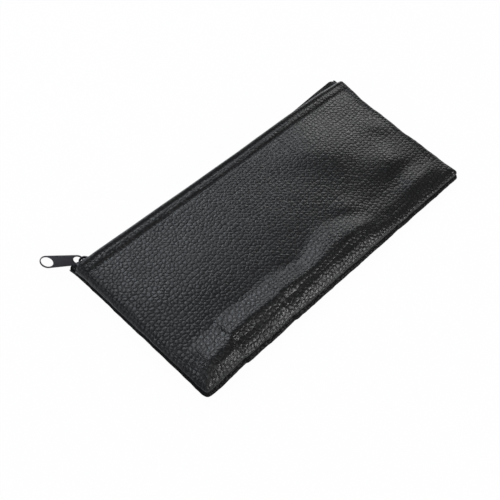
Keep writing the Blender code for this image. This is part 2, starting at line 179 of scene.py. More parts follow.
RING_HOLE_RADIUS = 0.0045
EYE_RADIUS = 0.00415
EYE_HOLE_RADIUS = 0.0033
TAB_SWING = math.radians(44.7)
TAB_LEAN = math.radians(20)
TAB_DIP = math.radians(5.3)

# Finer forms of the zip than the solids have: the slider's plan, rounded edges and the tape inside the teeth
SLIDER_TAPER = 0.0005
SLIDER_CORNER = 0.0022
SLIDER_SUNK = 0.0003
RAIL_SETBACK = 0.0014
SLIDER_EDGE = 0.00028
WEDGE_EDGE = 0.0001
RAIL_EDGE = 0.00012
BAIL_EDGE = 0.00035
TOOTH_EDGE = 0.00016
STOP_EDGE = 0.0002
TAB_EDGE = 0.00018
TAPE_INNER_EDGE = 0.0013
SHARP_FROM = math.radians(40)

# Counts of facets, and the zones that they fill
ROLL_STEPS = 14
CORNER_STEPS = 10
WIDTH_CELLS = 110
DEPTH_CELLS = 112
HEM_ROWS = 34
HEM_ROWS_DEPTH = 0.0145
HEM_CELLS = 9
FOLD_STEPS = 6
RINGS = ROLL_STEPS + 2
WIDEST_RING = 6
ZONE = RINGS + CORNER_STEPS
COLUMNS = 2 * (ZONE + WIDTH_CELLS)
ROWS = ZONE + DEPTH_CELLS
CORNER_ZONE = SEAM_ALLOWANCE + CORNER_RADIUS
TAPE_CELLS = 140
TAPE_ROWS = 5
BEND_STEPS = 6
BAIL_STEPS = 20
RING_STEPS = 48
EYE_STEPS = 40

MM = 0.001


def half_width(y):
    share = (y - FOOT_Y) / BAG_DEPTH
    return (FOOT_WIDTH + share * (MOUTH_WIDTH - FOOT_WIDTH)) / 2


def smooth(value, low, high):
    share = min(1.0, max(0.0, (value - low) / (high - low)))
    return share * share * (3 - 2 * share)


def hill(value, centre, reach):
    return math.exp(-(((value - centre) / reach) ** 2))


def swell(x, given):
    middle, reach, share = given
    return share * hill(x, middle, reach)


def ripple(x, given):
    """Noise along the bag, from waves to the metre and two seeds."""
    waves, *seeds = given
    return noise.noise((x * waves, *seeds))


def rumple(x, y, layers):
    return sum(height * noise.noise((x * waves, y * waves, seed)) for height, waves, seed in layers)


# Folds of the slack front: the crest's middle x and y, its direction in degrees and half length, how far
# the face falls away on the foot's side and on the mouth's side, and the rise, in mm
FOLDS = (
    (62, 22, -45, 34, 20, 40, 4.0),
    (96, -25, -6, 16, 9, 14, 2.2),
    (39, -32, -40, 12, 7, 9, 1.2),
    (118, 6, -35, 12, 7, 11, 0.9),
    (-12, 52, -3, 45, 28, 6, 0.9),
    (-92, -6, -30, 30, 14, 18, 0.4),
)

# Creases over the foot's rolled edge: x, depth and how far the fold runs on, in mm
CREASES = ((-98, 1.3, 90), (-52, 1.1, 190), (58, 0.5, 60))
CREASE_DEEPEST = max(depth for _, depth, _ in CREASES)
CREASE_START = 2.5
CREASE_FADE = 2.2

# Marks of the creases, in mm: shifted rim, notch in the outline, slanting groove, valley (fade in metres)
CREASE_SHIFT = 3.5
NOTCH_LEAD = 8.0
NOTCH_WIDTH = 1.5
NOTCH_BACK_SHARE = 0.8
GROOVE_SHARE = 0.9
GROOVE_WIDTH = 1.2
GROOVE_SLANT = 0.35
GROOVE_SLANT_FROM = 6
GROOVE_PLACE = (7, 7)
VALLEY_DEPTH = 0.8
VALLEY_PLACE = (9, 5)
VALLEY_SIDE_FADE = (0.006, 0.02)

# Rim along the foot, in mm: the crest's distance and sway, the rise, and the slopes outwards and inwards;
# the sway turns so many radians in a metre, and the fade at the sides is in metres
RIM_CREST = 12.0
RIM_SWAY = 1.2
RIM_SWAY_TURN = 70
RIM_RISE = 4.3
RIM_NEAR_SLOPE = (-13, 3)
RIM_FAR_FROM = 1
RIM_FALL = 22.0
RIM_FALL_LEAST = 0.88
RIM_SIDE_FADE = (0.004, 0.016)

# Where the rim is wider, higher or lower along the bag: x and reach, or x from and to, and by what share
RIM_LOBE = (0.006, 0.018, 0.45)
RIM_SWELL = (-0.07, 0.018, 0.15)
RIM_KNOLL = (0.098, 0.018, 0.45)
RIM_SINKS = (0.026, 0.05)
RIM_SINKS_SHARE = 0.75
RIM_UNEVEN = 0.2
RIM_SWAY_NOISE = (40, 0.5, 2.9)
RIM_FALL_NOISE = (40, 4.4, 0.3)
RIM_RISE_NOISE = (42, 1.1, 6.6)

# Sagging corners of the front: depth in mm, and where it grows, in mm at the left and else in metres
LEFT_DROOP = 2.4
LEFT_DROOP_FROM = 21.0
RIGHT_SAG = 2.4
RIGHT_SAG_ACROSS = (0.02, 0.08)
RIGHT_SAG_DOWN = (0.01, 0.06)
MOUTH_DROOP = 2.6
MOUTH_DROOP_ACROSS = (0.112, 0.138)
MOUTH_DROOP_FROM = 0.04


def crease_run(x):
    """How far the foot's fold lies inside, 0 to 1, which jumps at each crease and dies away after it."""
    found = 0.0
    for place, depth, run in CREASES:
        along = x / MM - place
        if along > 0:
            fade = math.exp(-along / run * CREASE_FADE) * smooth(along, 0, CREASE_START)
            found = max(found, depth / CREASE_DEEPEST * fade)
    return found


def fold_rise(x, y, fold):
    middle_x, middle_y, turn, length, near, far, height = fold
    across, up = x / MM - middle_x, y / MM - middle_y
    cos, sin = math.cos(math.radians(turn)), math.sin(math.radians(turn))
    along, beside = across * cos + up * sin, up * cos - across * sin
    width = near if beside < 0 else far
    return height * math.exp(-((along / length) ** 2) - (beside / width) ** 2)


def rim_rise(x, y):
    """The puffed rim along the foot, highest at its crest and sinking slowly towards the middle."""
    sway = math.sin(x * RIM_SWAY_TURN) + ripple(x, RIM_SWAY_NOISE)
    inside = (y - FOOT_Y) / MM - RIM_SWAY * sway - CREASE_SHIFT * crease_run(x)
    past = inside - RIM_CREST
    fall = RIM_FALL * (RIM_FALL_LEAST + swell(x, RIM_LOBE) + RIM_UNEVEN * ripple(x, RIM_FALL_NOISE))
    shape = smooth(past, *RIM_NEAR_SLOPE) * (1 - smooth(past, RIM_FAR_FROM, fall))
    lengthwise = 1 - RIM_SINKS_SHARE * smooth(x, *RIM_SINKS) + swell(x, RIM_KNOLL)
    lengthwise *= 1 + swell(x, RIM_SWELL) + RIM_UNEVEN * ripple(x, RIM_RISE_NOISE)
    return RIM_RISE * shape * lengthwise * smooth(half_width(y) - abs(x), *RIM_SIDE_FADE)


def front_hills(x, y):
    """Rise of the front's face above its even slope."""
    rise = sum(fold_rise(x, y, fold) for fold in FOLDS) + rim_rise(x, y)
    inside = (y - FOOT_Y) / MM
    valley = hill(inside, *VALLEY_PLACE) * smooth(half_width(y) - abs(x), *VALLEY_SIDE_FADE)
    rise -= VALLEY_DEPTH * crease_run(x) * valley
    for place, depth, _ in CREASES:
        middle = place - GROOVE_SLANT * (inside - GROOVE_SLANT_FROM)
        rise -= GROOVE_SHARE * depth * hill(x / MM, middle, GROOVE_WIDTH) * hill(inside, *GROOVE_PLACE)
    from_left = (half_width(y) + x) / MM
    rise -= LEFT_DROOP * max(0.0, 1 - from_left / LEFT_DROOP_FROM) ** 2
    rise -= RIGHT_SAG * smooth(x, *RIGHT_SAG_ACROSS) * smooth(-y, *RIGHT_SAG_DOWN)
    rise -= MOUTH_DROOP * smooth(x, *MOUTH_DROOP_ACROSS) * smooth(y, MOUTH_DROOP_FROM, FRONT_MOUTH_Y)
    return (rise + rumple(x, y, RUMPLES)) * MM


def front_crown(x, y):
    across = abs(x) / (half_width(y) - FRONT_ROLL_FOOT)
    along = (y - FOOT_Y - FRONT_ROLL_FOOT) / (FRONT_MOUTH_Y - HEM_WIDTH - FOOT_Y - FRONT_ROLL_FOOT)
    if across >= 1 or not 0 < along < 1:
        return 0.0
    return FRONT_CROWN * (1 - across**2) * math.sin(math.pi * along) ** 2


def front_hem(x, y):
    """The lower level past the hem, and the grooves that the two rows of stitches pull in."""
    below = FRONT_MOUTH_Y - y
    drop = HEM_STEP * min(1.0, max(0.0, (below - HEM_TILT_FROM) / (TAPE_STITCH_INSET - HEM_TILT_FROM)))
    for row in (EDGE_STITCH_INSET, TAPE_STITCH_INSET):
        drop += STITCH_GROOVE * hill(below, row, STITCH_GROOVE_WIDTH)
    return -drop * smooth(half_width(y) - abs(x), *HEM_FADE)


def front_relief(x, y):
    return front_hills(x, y) + front_crown(x, y) + front_hem(x, y)


class Panel:
    """A panel of leatherette as a grid: seam allowance, rolled edge and face, with the mouth's edge last."""

    def __init__(self, side, roll, heights):
        self.side = side
        self.roll = roll
        self.heights = heights
        self.flange_z = SEAM_HEIGHT + side * CLEARANCE / 2
        self.wall_z = SEAM_HEIGHT + side * 2 * CLEARANCE

    def mouth(self, x):
        """Where the panel's edge lies at the mouth, with its corners cut round."""
        if self.side > 0:
            return FRONT_MOUTH_Y - FRONT_CORNER * smooth(x, *FRONT_CORNER_SPAN) ** 2
        flare = BACK_FLARE * (max(0.0, x - BACK_FLARE_FROM) / BACK_FLARE_RUN) ** BACK_FLARE_POWER
        flare += BACK_FLARE_LEFT * smooth(-x, *BACK_FLARE_LEFT_SPAN)
        past = max(0.0, abs(x) - half_width(FRONT_MOUTH_Y) + BACK_CORNER)
        drop = BACK_CORNER - math.sqrt(max(0.0, BACK_CORNER**2 - past**2))
        return BACK_MOUTH_Y + flare - drop

    def share(self, y):
        return min(1.0, (y - FOOT_Y) / BAG_DEPTH)

    def turn(self, ring):
        return ((ring - 2) / ROLL_STEPS) ** ROLL_POWER

    def bend(self, ring, y):
        """How far in and up the rolled edge has come at a ring, 0 to 1; the front's foot is the flattest."""
        power = 1.0
        if self.side > 0:
            power += FOOT_CHAMFER * (1 - smooth(y - FOOT_Y, CORNER_ZONE, FOOT_CHAMFER_REACH))
        angle = math.pi / 2 * self.turn(ring)
        return 1 - max(0.0, math.cos(angle)) ** power, math.sin(angle) ** power

    def inset(self, ring, y):
        """How far inside the bag's outline a ring of the grid lies."""
        if ring == 0:
            untrimmed = (FRONT_MOUTH_Y - TAPE_TUCK - y) / SEAM_TRIM_LENGTH
            return SEAM_TRIMMED + min(1.0, max(0.0, untrimmed)) * (SEAM_ALLOWANCE - SEAM_TRIMMED)
        if ring == 1:
            return SEAM_RECESS
        roll = self.roll[0] + self.share(y) * (self.roll[1] - self.roll[0])
        above = abs(self.level(ring, y) - self.wall_z)
        if self.side > 0:
            bulge = -FRONT_SETBACK * (1 - self.turn(ring))
        else:
            bulge = BACK_BULGE * math.sin(math.pi / 2 * self.turn(ring))
        recess = (SEAM_RECESS - FRONT_SETBACK) * math.exp(-above / SEAM_RECESS_HEIGHT)
        return roll * self.bend(ring, y)[0] + recess - bulge

    def level(self, ring, y):
        if ring < 2:
            return self.flange_z
        top = self.heights[0] + self.share(y) * (self.heights[1] - self.heights[0])
        return self.wall_z + (top - self.wall_z) * self.bend(ring, y)[1]

    def corner(self, ring, index):
        """Distances in from the two edges that meet at a corner, for a step along a ring."""
        inset = self.inset(ring, FOOT_Y + CORNER_ZONE)
        radius = max(CORNER_RADIUS - inset, SKIN)
        bend = radius * math.pi / 4
        run = (bend + CORNER_ZONE - inset - radius) * (index - ring) / (ZONE - ring)
        if run < bend:
            angle = math.pi / 4 - run / radius
            return inset + radius * (1 - math.cos(angle)), inset + radius * (1 - math.sin(angle))
        return inset, inset + radius + run - bend

    def row_y(self, ring, row, x):
        if row <= ZONE:
            return FOOT_Y + self.corner(ring, row)[1]
        start, end = FOOT_Y + CORNER_ZONE, self.mouth(x)
        from_mouth = ROWS - row
        if from_mouth <= HEM_ROWS:
            return end - HEM_ROWS_DEPTH * from_mouth / HEM_ROWS
        return start + (end - HEM_ROWS_DEPTH - start) * (row - ZONE) / (DEPTH_CELLS - HEM_ROWS)

    def column_inset(self, ring, column, y):
        if column <= ZONE:
            return self.corner(ring, column)[1]
        return CORNER_ZONE + (half_width(y) - CORNER_ZONE) * (column - ZONE) / WIDTH_CELLS

    def plan(self, column, row):
        """Ring, x and y of a grid point."""
        mirror = -1 if column <= COLUMNS / 2 else 1
        column = min(column, COLUMNS - column)
        ring = min(column, row, RINGS)
        if row == ring and column > ring and ring < RINGS:
            if column <= ZONE:
                up, inset = self.corner(ring, column)
                y = FOOT_Y + up
            else:
                y = FOOT_Y + self.inset(ring, FOOT_Y + CORNER_ZONE)
                inset = self.column_inset(ring, column, y)
        else:
            at_mouth = max(WIDEST_RING, min(column, RINGS))
            inset = self.inset(at_mouth, FRONT_MOUTH_Y)
            if column > RINGS:
                inset = self.column_inset(RINGS, column, FRONT_MOUTH_Y)
            y = self.row_y(ring, row, mirror * (half_width(FRONT_MOUTH_Y) - inset))
            inset = self.inset(ring, y) if row > ZONE else self.corner(ring, row)[0]
            if column > ring:
                inset = self.column_inset(ring, column, y)
        return ring, mirror * (half_width(y) - inset), y

    def place(self, column, row):
        ring, x, y = self.plan(column, row)
        z = self.level(ring, y)
        lift = 0.0 if ring < 2 else math.sin(math.pi / 2 * self.turn(ring)) ** 2
        if self.side > 0:
            z += lift * front_relief(x, y)
        else:
            z += lift * self.underside(x, y)
            z *= 1 - BACK_END_DROP * smooth(y, FRONT_MOUTH_Y, FRONT_MOUTH_Y + BACK_END_DROP_RUN)
        x, y = self.draw_in(x, y)
        return Vector((*self.crumple(x, y, ring), z))

    def underside(self, x, y):
        """The back sinks to the table inside its edges, and a rucked part keeps a little off it."""
        inside = min(half_width(y) - abs(x), y - FOOT_Y, BACK_MOUTH_Y - y)
        rest = smooth(inside, *BACK_REST_BAND)
        ruck = BACK_RUCK * (1 + rumple(x, y, BACK_RUCKS))
        patch = smooth(rumple(x, y, BACK_PATCHES), *BACK_RUCK_SPAN)
        return rest * (ruck * patch - BACK_EDGE_LIFT)

    def draw_in(self, x, y):
        """Where a point goes when the filling pulls the edges in between the corners."""
        along = self.share(y)
        bow = (FOOT_BOW * (1 - along) - MOUTH_BOW * along) * (1 - (x / half_width(y)) ** 2)
        return x * (1 - 4 * along * (1 - along) * SIDE_BOW / half_width(y)), y + bow

    def crumple(self, x, y, ring):
        """Where a point goes in the seam's small waves, the creases' notches and the drawn-out corners."""
        front, right = self.side > 0, int(x > 0)
        from_side = half_width(y) - abs(x)
        wave = rumple(x, y, EDGE_WAVES)
        push = wave - FOOT_OUT
        for place, depth, _ in CREASES:
            along = x / MM - place
            notch = hill(along, 0.0, NOTCH_WIDTH) if along > 0 else math.exp(along / NOTCH_LEAD)
            push += (1.0 if front else NOTCH_BACK_SHARE) * depth * MM * notch
        if front and ring > 2:
            tuck = (FOOT_LEAN + FOOT_TUCK * crease_run(x)) * smooth(from_side, 0.0, FOOT_TUCK_FADE)
            push += tuck * self.turn(ring)
        pull = wave - SIDE_OUT[right] - EAR[right] * hill(y, FOOT_Y, EAR_REACH[right])
        if right:
            ear = MOUTH_EAR if front else MOUTH_EAR + BACK_MOUTH_EAR
            pull += SIDE_DENT * hill(y, *SIDE_DENT_PLACE)
            pull -= ear * hill(y, FRONT_MOUTH_Y, MOUTH_EAR_REACH)
        push *= 1 - smooth(y - FOOT_Y, *EDGE_BAND)
        pull *= 1 - smooth(from_side, *EDGE_BAND)
        return x - pull * math.copysign(1, x), y + push

    def points(self):
        """The grid's places as an array of columns, rows and coordinates, with the hem folded in."""
        rows = []
        for row in range(ROWS + 1):
            rows.append([self.place(column, row) for column in range(COLUMNS + 1)])
        grid = np.array(rows).transpose(1, 0, 2)
        last = grid[:, -1]
        folded = []
        reach = np.minimum(1.0, np.arange(COLUMNS + 1) / RINGS)
        reach = np.minimum(reach, reach[::-1])
        if self.side < 0:
            ends = [smooth(abs(x - BACK_END_HEM_MIDDLE), *BACK_END_HEM_SPAN) for x in last[:, 0]]
            reach = reach * (1 - (1 - BACK_END_HEM) * np.array(ends))
        for step in range(1, FOLD_STEPS + 1):
            angle = math.pi * step / FOLD_STEPS
            shift = np.zeros_like(last)
            shift[:, 1] = SKIN * math.sin(angle)
            shift[:, 2] = -self.side * HEM_THICKNESS / 2 * (1 - math.cos(angle)) * reach
            folded.append(last + shift)
        level = folded[-1]
        for step in range(1, HEM_CELLS + 1):
            share = step / HEM_CELLS
            inner = level.copy()
            inner[:, 1] -= HEM_WIDTH * share
            inner[:, 0] *= 1 - HEM_NARROWING * share
            inner[:, 2] += (grid[:, -1 - step, 2] - last[:, 2]) * HEM_FOLLOWS
            folded.append(inner)
        return np.concatenate([grid, np.stack(folded, 1)], 1)


def mesh_of(bm, name):
    mesh = bpy.data.meshes.new(name)
    bm.to_mesh(mesh)
    bm.free()
    return mesh


def cloth_mesh(name, grid, side):
    """A mesh over a grid of places, with the cloth's own lengths as UVs."""
    columns, rows = grid.shape[:2]
    middle = columns // 2
    step_u = np.linalg.norm(np.diff(grid, axis=0), axis=2)
    u = np.zeros((columns, rows))
    u[middle + 1 :] = np.cumsum(step_u[middle:], axis=0)
    u[:middle] = -np.cumsum(step_u[:middle][::-1], axis=0)[::-1]
    step_v = np.linalg.norm(np.diff(grid, axis=1), axis=2)
    v = np.zeros((columns, rows))
    v[:, 1:] = np.cumsum(step_v, axis=1)
    v -= v[:, ROWS : ROWS + 1]
    bm = bmesh.new()
    uv = bm.loops.layers.uv.new("cloth")
    verts = {}
    for column in range(columns):
        for row in range(rows):
            if row > ROWS and not WIDEST_RING <= column <= columns - 1 - WIDEST_RING:
                continue
            verts[column, row] = bm.verts.new(grid[column, row])
    for column in range(columns - 1):
        for row in range(rows - 1):
            keys = [(column, row), (column + 1, row), (column + 1, row + 1), (column, row + 1)]
            if not all(key in verts for key in keys):
                continue
            if side < 0:
                keys.reverse()
            face = bm.faces.new([verts[key] for key in keys])
            face.smooth = True
            for loop, key in zip(face.loops, keys):
                loop[uv].uv = (u[key], v[key])
    return mesh_of(bm, name)


def add(name, mesh, finishes):
    obj = bpy.data.objects.new(name, mesh)
    bpy.context.scene.collection.objects.link(obj)
    for finish in finishes:
        mesh.materials.append(finish)
    return obj


def applied(obj):
    """The object with its modifiers made part of its mesh."""
    bpy.context.view_layer.update()
    evaluated = obj.evaluated_get(bpy.context.evaluated_depsgraph_get())
    mesh = bpy.data.meshes.new_from_object(evaluated)
    obj.modifiers.clear()
    obj.data = mesh
    return obj


def thicken(obj, thickness, offset, inner_slot=0):
    skin = obj.modifiers.new("skin", "SOLIDIFY")
    skin.thickness = thickness
    skin.offset = offset
    skin.material_offset = inner_slot
    return applied(obj)


def halves(obj, nodes):
    """The object cut at x = 0 into two, left and right, that keep the whole's vertex normals."""
    whole, name, finishes = obj.data, obj.name, list(obj.data.materials)
    normals = [vert.normal.copy() for vert in whole.vertices]
    for side, label in ((-1, "left"), (1, "right")):
        bm = bmesh.new()
        bm.from_mesh(whole)
        source = bm.verts.layers.int.new("source")
        for vert in bm.verts:
            vert[source] = vert.index
        away = [face for face in bm.faces if face.calc_center_median().x * side < 0]
        bmesh.ops.delete(bm, geom=away, context="FACES")
        kept = [vert[source] for vert in bm.verts]
        bm.verts.layers.int.remove(source)
        mesh = mesh_of(bm, f"{name}_{label}")
        if kept:
            mesh.normals_split_custom_set_from_vertices([normals[index] for index in kept])
            half = add(f"{name}_{label}", mesh, finishes)
            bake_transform(half)
            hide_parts(*nodes)
    bpy.data.objects.remove(obj)


def rides(obj, body, nodes):
    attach(obj, body)
    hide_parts(*nodes)


# Finishes
WHITE = (1, 1, 1, 1)


class Nodes:
    """Short ways to add nodes to a tree."""

    def __init__(self, tree):
        self.tree = tree

    def node(self, kind, inputs=None, **settings):
        made = self.tree.nodes.new(kind)
        for key, value in settings.items():
            setattr(made, key, value)
        for key, value in (inputs or {}).items():
            self.feed(made.inputs[key], value)
        return made

    def feed(self, socket, value):
        if isinstance(value, bpy.types.NodeSocket):
            self.tree.links.new(value, socket)
        else:
            socket.default_value = value

    def math(self, operation, first, second=0.0):
        return self.node("ShaderNodeMath", {0: first, 1: second}, operation=operation).outputs[0]

    def spread(self, value, low, high, to_low, to_high):
        """The value carried smoothly from one range to another."""
        keys = ("Value", "From Min", "From Max", "To Min", "To Max")
        ranges = dict(zip(keys, (value, low, high, to_low, to_high)))
        return self.node("ShaderNodeMapRange", ranges, interpolation_type="SMOOTHSTEP").outputs[0]


class Finish(Nodes):
    """A material with a Principled shader."""

    def __init__(self, name, colour, roughness, metallic=0.0):
        self.made = bpy.data.materials.new(name)
        self.made.use_nodes = True
        super().__init__(self.made.node_tree)
        self.shader = self.tree.nodes["Principled BSDF"]
        self.finish(Base_Color=(*colour, 1.0), Roughness=roughness, Metallic=metallic)

    def blend(self, share, first, second):
        colours = {"Factor": share, "A": first, "B": second}
        return self.node("ShaderNodeMix", colours, data_type="RGBA").outputs["Result"]

    def noise(self, place, scale, detail):
        made = self.node("ShaderNodeTexNoise", {"Vector": place, "Scale": scale, "Detail": detail})
        return made.outputs["Fac"]

    def wave(self, place, turn, scale, distortion, detail=2.0):
        """Ribs across the first direction of the turned place."""
        turned = self.node("ShaderNodeMapping", {"Vector": place, "Rotation": turn}).outputs[0]
        ribs = {"Vector": turned, "Scale": scale, "Distortion": distortion, "Detail": detail}
        return self.node("ShaderNodeTexWave", ribs).outputs["Fac"]

    def bump(self, height, distance, strength=1.0, under=None):
        made = self.node("ShaderNodeBump", {"Height": height, "Distance": distance, "Strength": strength})
        if under:
            self.feed(made.inputs["Normal"], under)
        return made.outputs["Normal"]

    def finish(self, **sockets):
        for key, value in sockets.items():
            self.feed(self.shader.inputs[key.replace("_", " ")], value)
        return self.made


# Grain: rows of cells askew to the bag, and the noise that bends them, by scale and reach
GRAIN_ROW = 0.0024
GRAIN_STEP = 0.0043
GRAIN_TURN = math.radians(-43.8)
GRAIN_SWAY = ((60.0, 0.004), (260.0, 0.0014))
GRAIN_HEIGHT = 0.00032
GRAIN_UNEVEN = 0.63
GRAIN_CREVICE = 0.3
GRAIN_DOME = 0.72
GRAIN_RIDGE = 0.08
PORES = 2600.0
PORE_DEPTH = 0.00006
PATCHES = 45.0
PATCH_SPAN = (0.3, 0.7)
PATCH_SHARE = 0.3

# Leatherette's colours, roughness and shine, and where on the cloth it is pressed, painted with a highlight
# along the fold, or dulled; the darker colour is painted shade in the grain's crevices and also a random
# darker tone in patches
LEATHER = (0.0125, 0.0125, 0.0134, 1)
LEATHER_CREVICE_SHADE_AND_MOTTLE = (0.0085, 0.0085, 0.009, 1)
LEATHER_FOLD_HIGHLIGHT = (0.12, 0.12, 0.125, 1)
LEATHER_ROUGH = (0.32, 0.4)
LEATHER_SHINE = (0.34, 0.5)
PRESSED_SPAN = (-0.0045, -0.0025)
PRESSED_GRAIN = 0.3
FOLD_HIGHLIGHT_MIDDLE = 0.0003
FOLD_HIGHLIGHT_SPAN = (0.0003, 0.0011)
FOLD_HIGHLIGHT_ENDS = 0.13
FOLD_HIGHLIGHT_SHARES = (0.3, 0.9)
SIDE_ROLL_SPAN = (0.127, 0.136)
SIDE_ROLL_SHINE = 0.35

# Knit, twill and thread: direction and scale of the ribs, depth and sheen
KNIT_LOOPS = 180.0
KNIT_ROWS = 240.0
KNIT_DEPTH = 0.00025
KNIT_SHEEN = 0.25
TWILL_TURN = math.radians(58)
TWILL_RIBS = 330.0
TWILL_DEPTH = 0.00018
TWILL_SHEEN = 0.2
PLY_TURN = (0.5, 0.4, 0.8)
PLY_RIBS = 900.0
PLY_DEPTH = 0.0001


def cloth_of(made):
    return made.node("ShaderNodeUVMap", uv_map="cloth").outputs["UV"]


def place_of(made):
    return made.node("ShaderNodeTexCoord").outputs["Object"]


def pebbles(made, cloth):
    """Height of the grain and its crevices, both about 0 to 1: uneven cells in staggered rows."""
    place = cloth
    for scale, reach in GRAIN_SWAY:
        sway = made.node("ShaderNodeTexNoise", {"Vector": cloth, "Scale": scale, "Detail": 1.0})
        shift = {0: sway.outputs["Color"], 1: (reach, reach, 0), 2: place}
        place = made.node("ShaderNodeVectorMath", shift, operation="MULTIPLY_ADD").outputs[0]
    askew = made.node("ShaderNodeMapping", {"Vector": place, "Rotation": (0, 0, -GRAIN_TURN)}).outputs[0]
    shrink = (math.sqrt(2) / GRAIN_STEP, math.sqrt(0.5) / GRAIN_ROW, 1)
    lattice = {"Vector": askew, "Scale": shrink, "Rotation": (0, 0, math.radians(45))}
    square = made.node("ShaderNodeMapping", lattice).outputs[0]
    found = []
    for feature in ("F1", "DISTANCE_TO_EDGE"):
        cell = {"Vector": square, "Scale": 1.0, "Randomness": GRAIN_UNEVEN}
        cells = made.node("ShaderNodeTexVoronoi", cell, voronoi_dimensions="2D", feature=feature)
        found.append(cells.outputs["Distance"])
    dome = made.math("SUBTRACT", 1.0, made.math("POWER", found[0], 2.0))
    top = made.spread(found[1], 0.0, GRAIN_CREVICE, 0.0, 1.0)
    height = made.math("MULTIPLY", dome, GRAIN_DOME)
    height = made.math("ADD", height, made.math("MULTIPLY", top, 1 - GRAIN_DOME))
    row = made.node("ShaderNodeSeparateXYZ", {0: askew}).outputs["Y"]
    ridge = made.math("COSINE", made.math("MULTIPLY", row, 2 * math.pi / GRAIN_ROW))
    return made.math("ADD", height, made.math("MULTIPLY", ridge, GRAIN_RIDGE)), top


def leatherette(name, fold_highlight_strength, polish):
    """Grained leatherette, with a painted highlight along its fold as far as given, painted shade in its
    crevices, and duller where it rolls down.
    """
    made = Finish(name, LEATHER[:3], 0.34)
    cloth = cloth_of(made)
    split = made.node("ShaderNodeSeparateXYZ", {0: cloth})
    across, along = split.outputs["X"], split.outputs["Y"]
    height, top = pebbles(made, cloth)
    fine = made.noise(cloth, PORES, 3.0)
    depth = made.spread(along, *PRESSED_SPAN, 1.0, PRESSED_GRAIN)
    normal = made.bump(height, GRAIN_HEIGHT, depth)
    normal = made.bump(fine, PORE_DEPTH, 0.5, normal)
    patch = made.noise(cloth, PATCHES, 2.0)
    # Painted highlight: a pale line painted along the mouth's fold, stronger to the right, standing in for
    # light catching the fold
    fold = made.math("ABSOLUTE", made.math("SUBTRACT", along, FOLD_HIGHLIGHT_MIDDLE))
    fold_highlight = made.spread(fold, *FOLD_HIGHLIGHT_SPAN, 1.0, 0.0)
    most = made.spread(across, -FOLD_HIGHLIGHT_ENDS, FOLD_HIGHLIGHT_ENDS, *(fold_highlight_strength * part for part in FOLD_HIGHLIGHT_SHARES))
    fold_highlight = made.math("MULTIPLY", fold_highlight, most)
    # Painted shade: the grain's crevices take the darker colour, and less shine further down, standing in
    # for the shade that would fall in them; random patches darken towards the same colour as a real uneven
    # tone
    colour = made.blend(top, LEATHER_CREVICE_SHADE_AND_MOTTLE, LEATHER)
    colour = made.blend(made.spread(patch, *PATCH_SPAN, 0.0, PATCH_SHARE), colour, LEATHER_CREVICE_SHADE_AND_MOTTLE)
    colour = made.blend(fold_highlight, colour, LEATHER_FOLD_HIGHLIGHT)
    mottle = made.math("ADD", patch, made.math("MULTIPLY", fine, 0.4))
    rough = made.spread(mottle, 0.45, 0.95, *LEATHER_ROUGH)
    shine = made.spread(top, 0.0, 1.0, *(polish * part for part in LEATHER_SHINE))
    rolled = made.spread(made.math("ABSOLUTE", across), *SIDE_ROLL_SPAN, 1.0, SIDE_ROLL_SHINE)
    shine = made.math("MULTIPLY", shine, rolled)
    return made.finish(Base_Color=colour, Roughness=rough, Normal=normal, Specular_IOR_Level=shine)


def backing():
    """The knitted cloth behind the leatherette."""
    made = Finish("backing_knit", (0.03, 0.03, 0.032), 0.95)
    cloth = cloth_of(made)
    loops = made.wave(cloth, (0, 0, 0), KNIT_LOOPS, 1.5, 1.0)
    rows = made.wave(cloth, (0, 0, math.pi / 2), KNIT_ROWS, 1.0, 1.0)
    knit = made.math("MULTIPLY", loops, rows)
    colour = made.blend(knit, (0.012, 0.012, 0.013, 1), (0.045, 0.045, 0.048, 1))
    return made.finish(Base_Color=colour, Normal=made.bump(knit, KNIT_DEPTH), Sheen_Weight=KNIT_SHEEN)


def woven_tape():
    made = Finish("tape_weave", (0.012, 0.012, 0.013), 0.85)
    cloth = cloth_of(made)
    ribs = [made.wave(cloth, (0, 0, turn), TWILL_RIBS, 0.4) for turn in (TWILL_TURN, -TWILL_TURN)]
    weave = made.math("MAXIMUM", *ribs)
    colour = made.blend(weave, (0.004, 0.004, 0.0045, 1), (0.017, 0.017, 0.018, 1))
    return made.finish(Base_Color=colour, Normal=made.bump(weave, TWILL_DEPTH), Sheen_Weight=TWILL_SHEEN)


def sewing_thread():
    made = Finish("thread_twist", (0.016, 0.016, 0.017), 0.6)
    ply = made.wave(place_of(made), PLY_TURN, PLY_RIBS, 0.6)
    colour = made.blend(ply, (0.006, 0.006, 0.0065, 1), (0.024, 0.024, 0.026, 1))
    return made.finish(Base_Color=colour, Normal=made.bump(ply, PLY_DEPTH))


def enamel():
    made = Finish("enamel_satin", (0.024, 0.023, 0.031), 0.36, 0.25)
    place = place_of(made)
    peel = made.noise(place, 1500.0, 2.0)
    scuff = made.noise(place, 320.0, 4.0)
    rubbed = made.spread(scuff, 0.35, 0.75, 0.0, 1.0)
    colour = made.blend(rubbed, (0.020, 0.019, 0.027, 1), (0.029, 0.028, 0.036, 1))
    rough = made.spread(scuff, 0.3, 0.75, 0.32, 0.46)
    return made.finish(Base_Color=colour, Roughness=rough, Normal=made.bump(peel, 0.00003, 0.6))


def moulded_teeth():
    made = Finish("teeth_moulded", (0.014, 0.014, 0.015), 0.35)
    speck = made.noise(place_of(made), 900.0, 3.0)
    colour = made.blend(speck, (0.010, 0.010, 0.011, 1), (0.019, 0.019, 0.020, 1))
    rough = made.spread(speck, 0.3, 0.7, 0.28, 0.44)
    return made.finish(Base_Color=colour, Roughness=rough, Normal=made.bump(speck, 0.00003, 0.5))


GRAINED = leatherette("leatherette_grain", 1.0, 1.0)
GRAINED_BACK = leatherette("leatherette_back", 0.0, 0.2)
KNIT = backing()
WOVEN = woven_tape()
THREADED = sewing_thread()
ENAMELLED = enamel()
MOULDED = moulded_teeth()


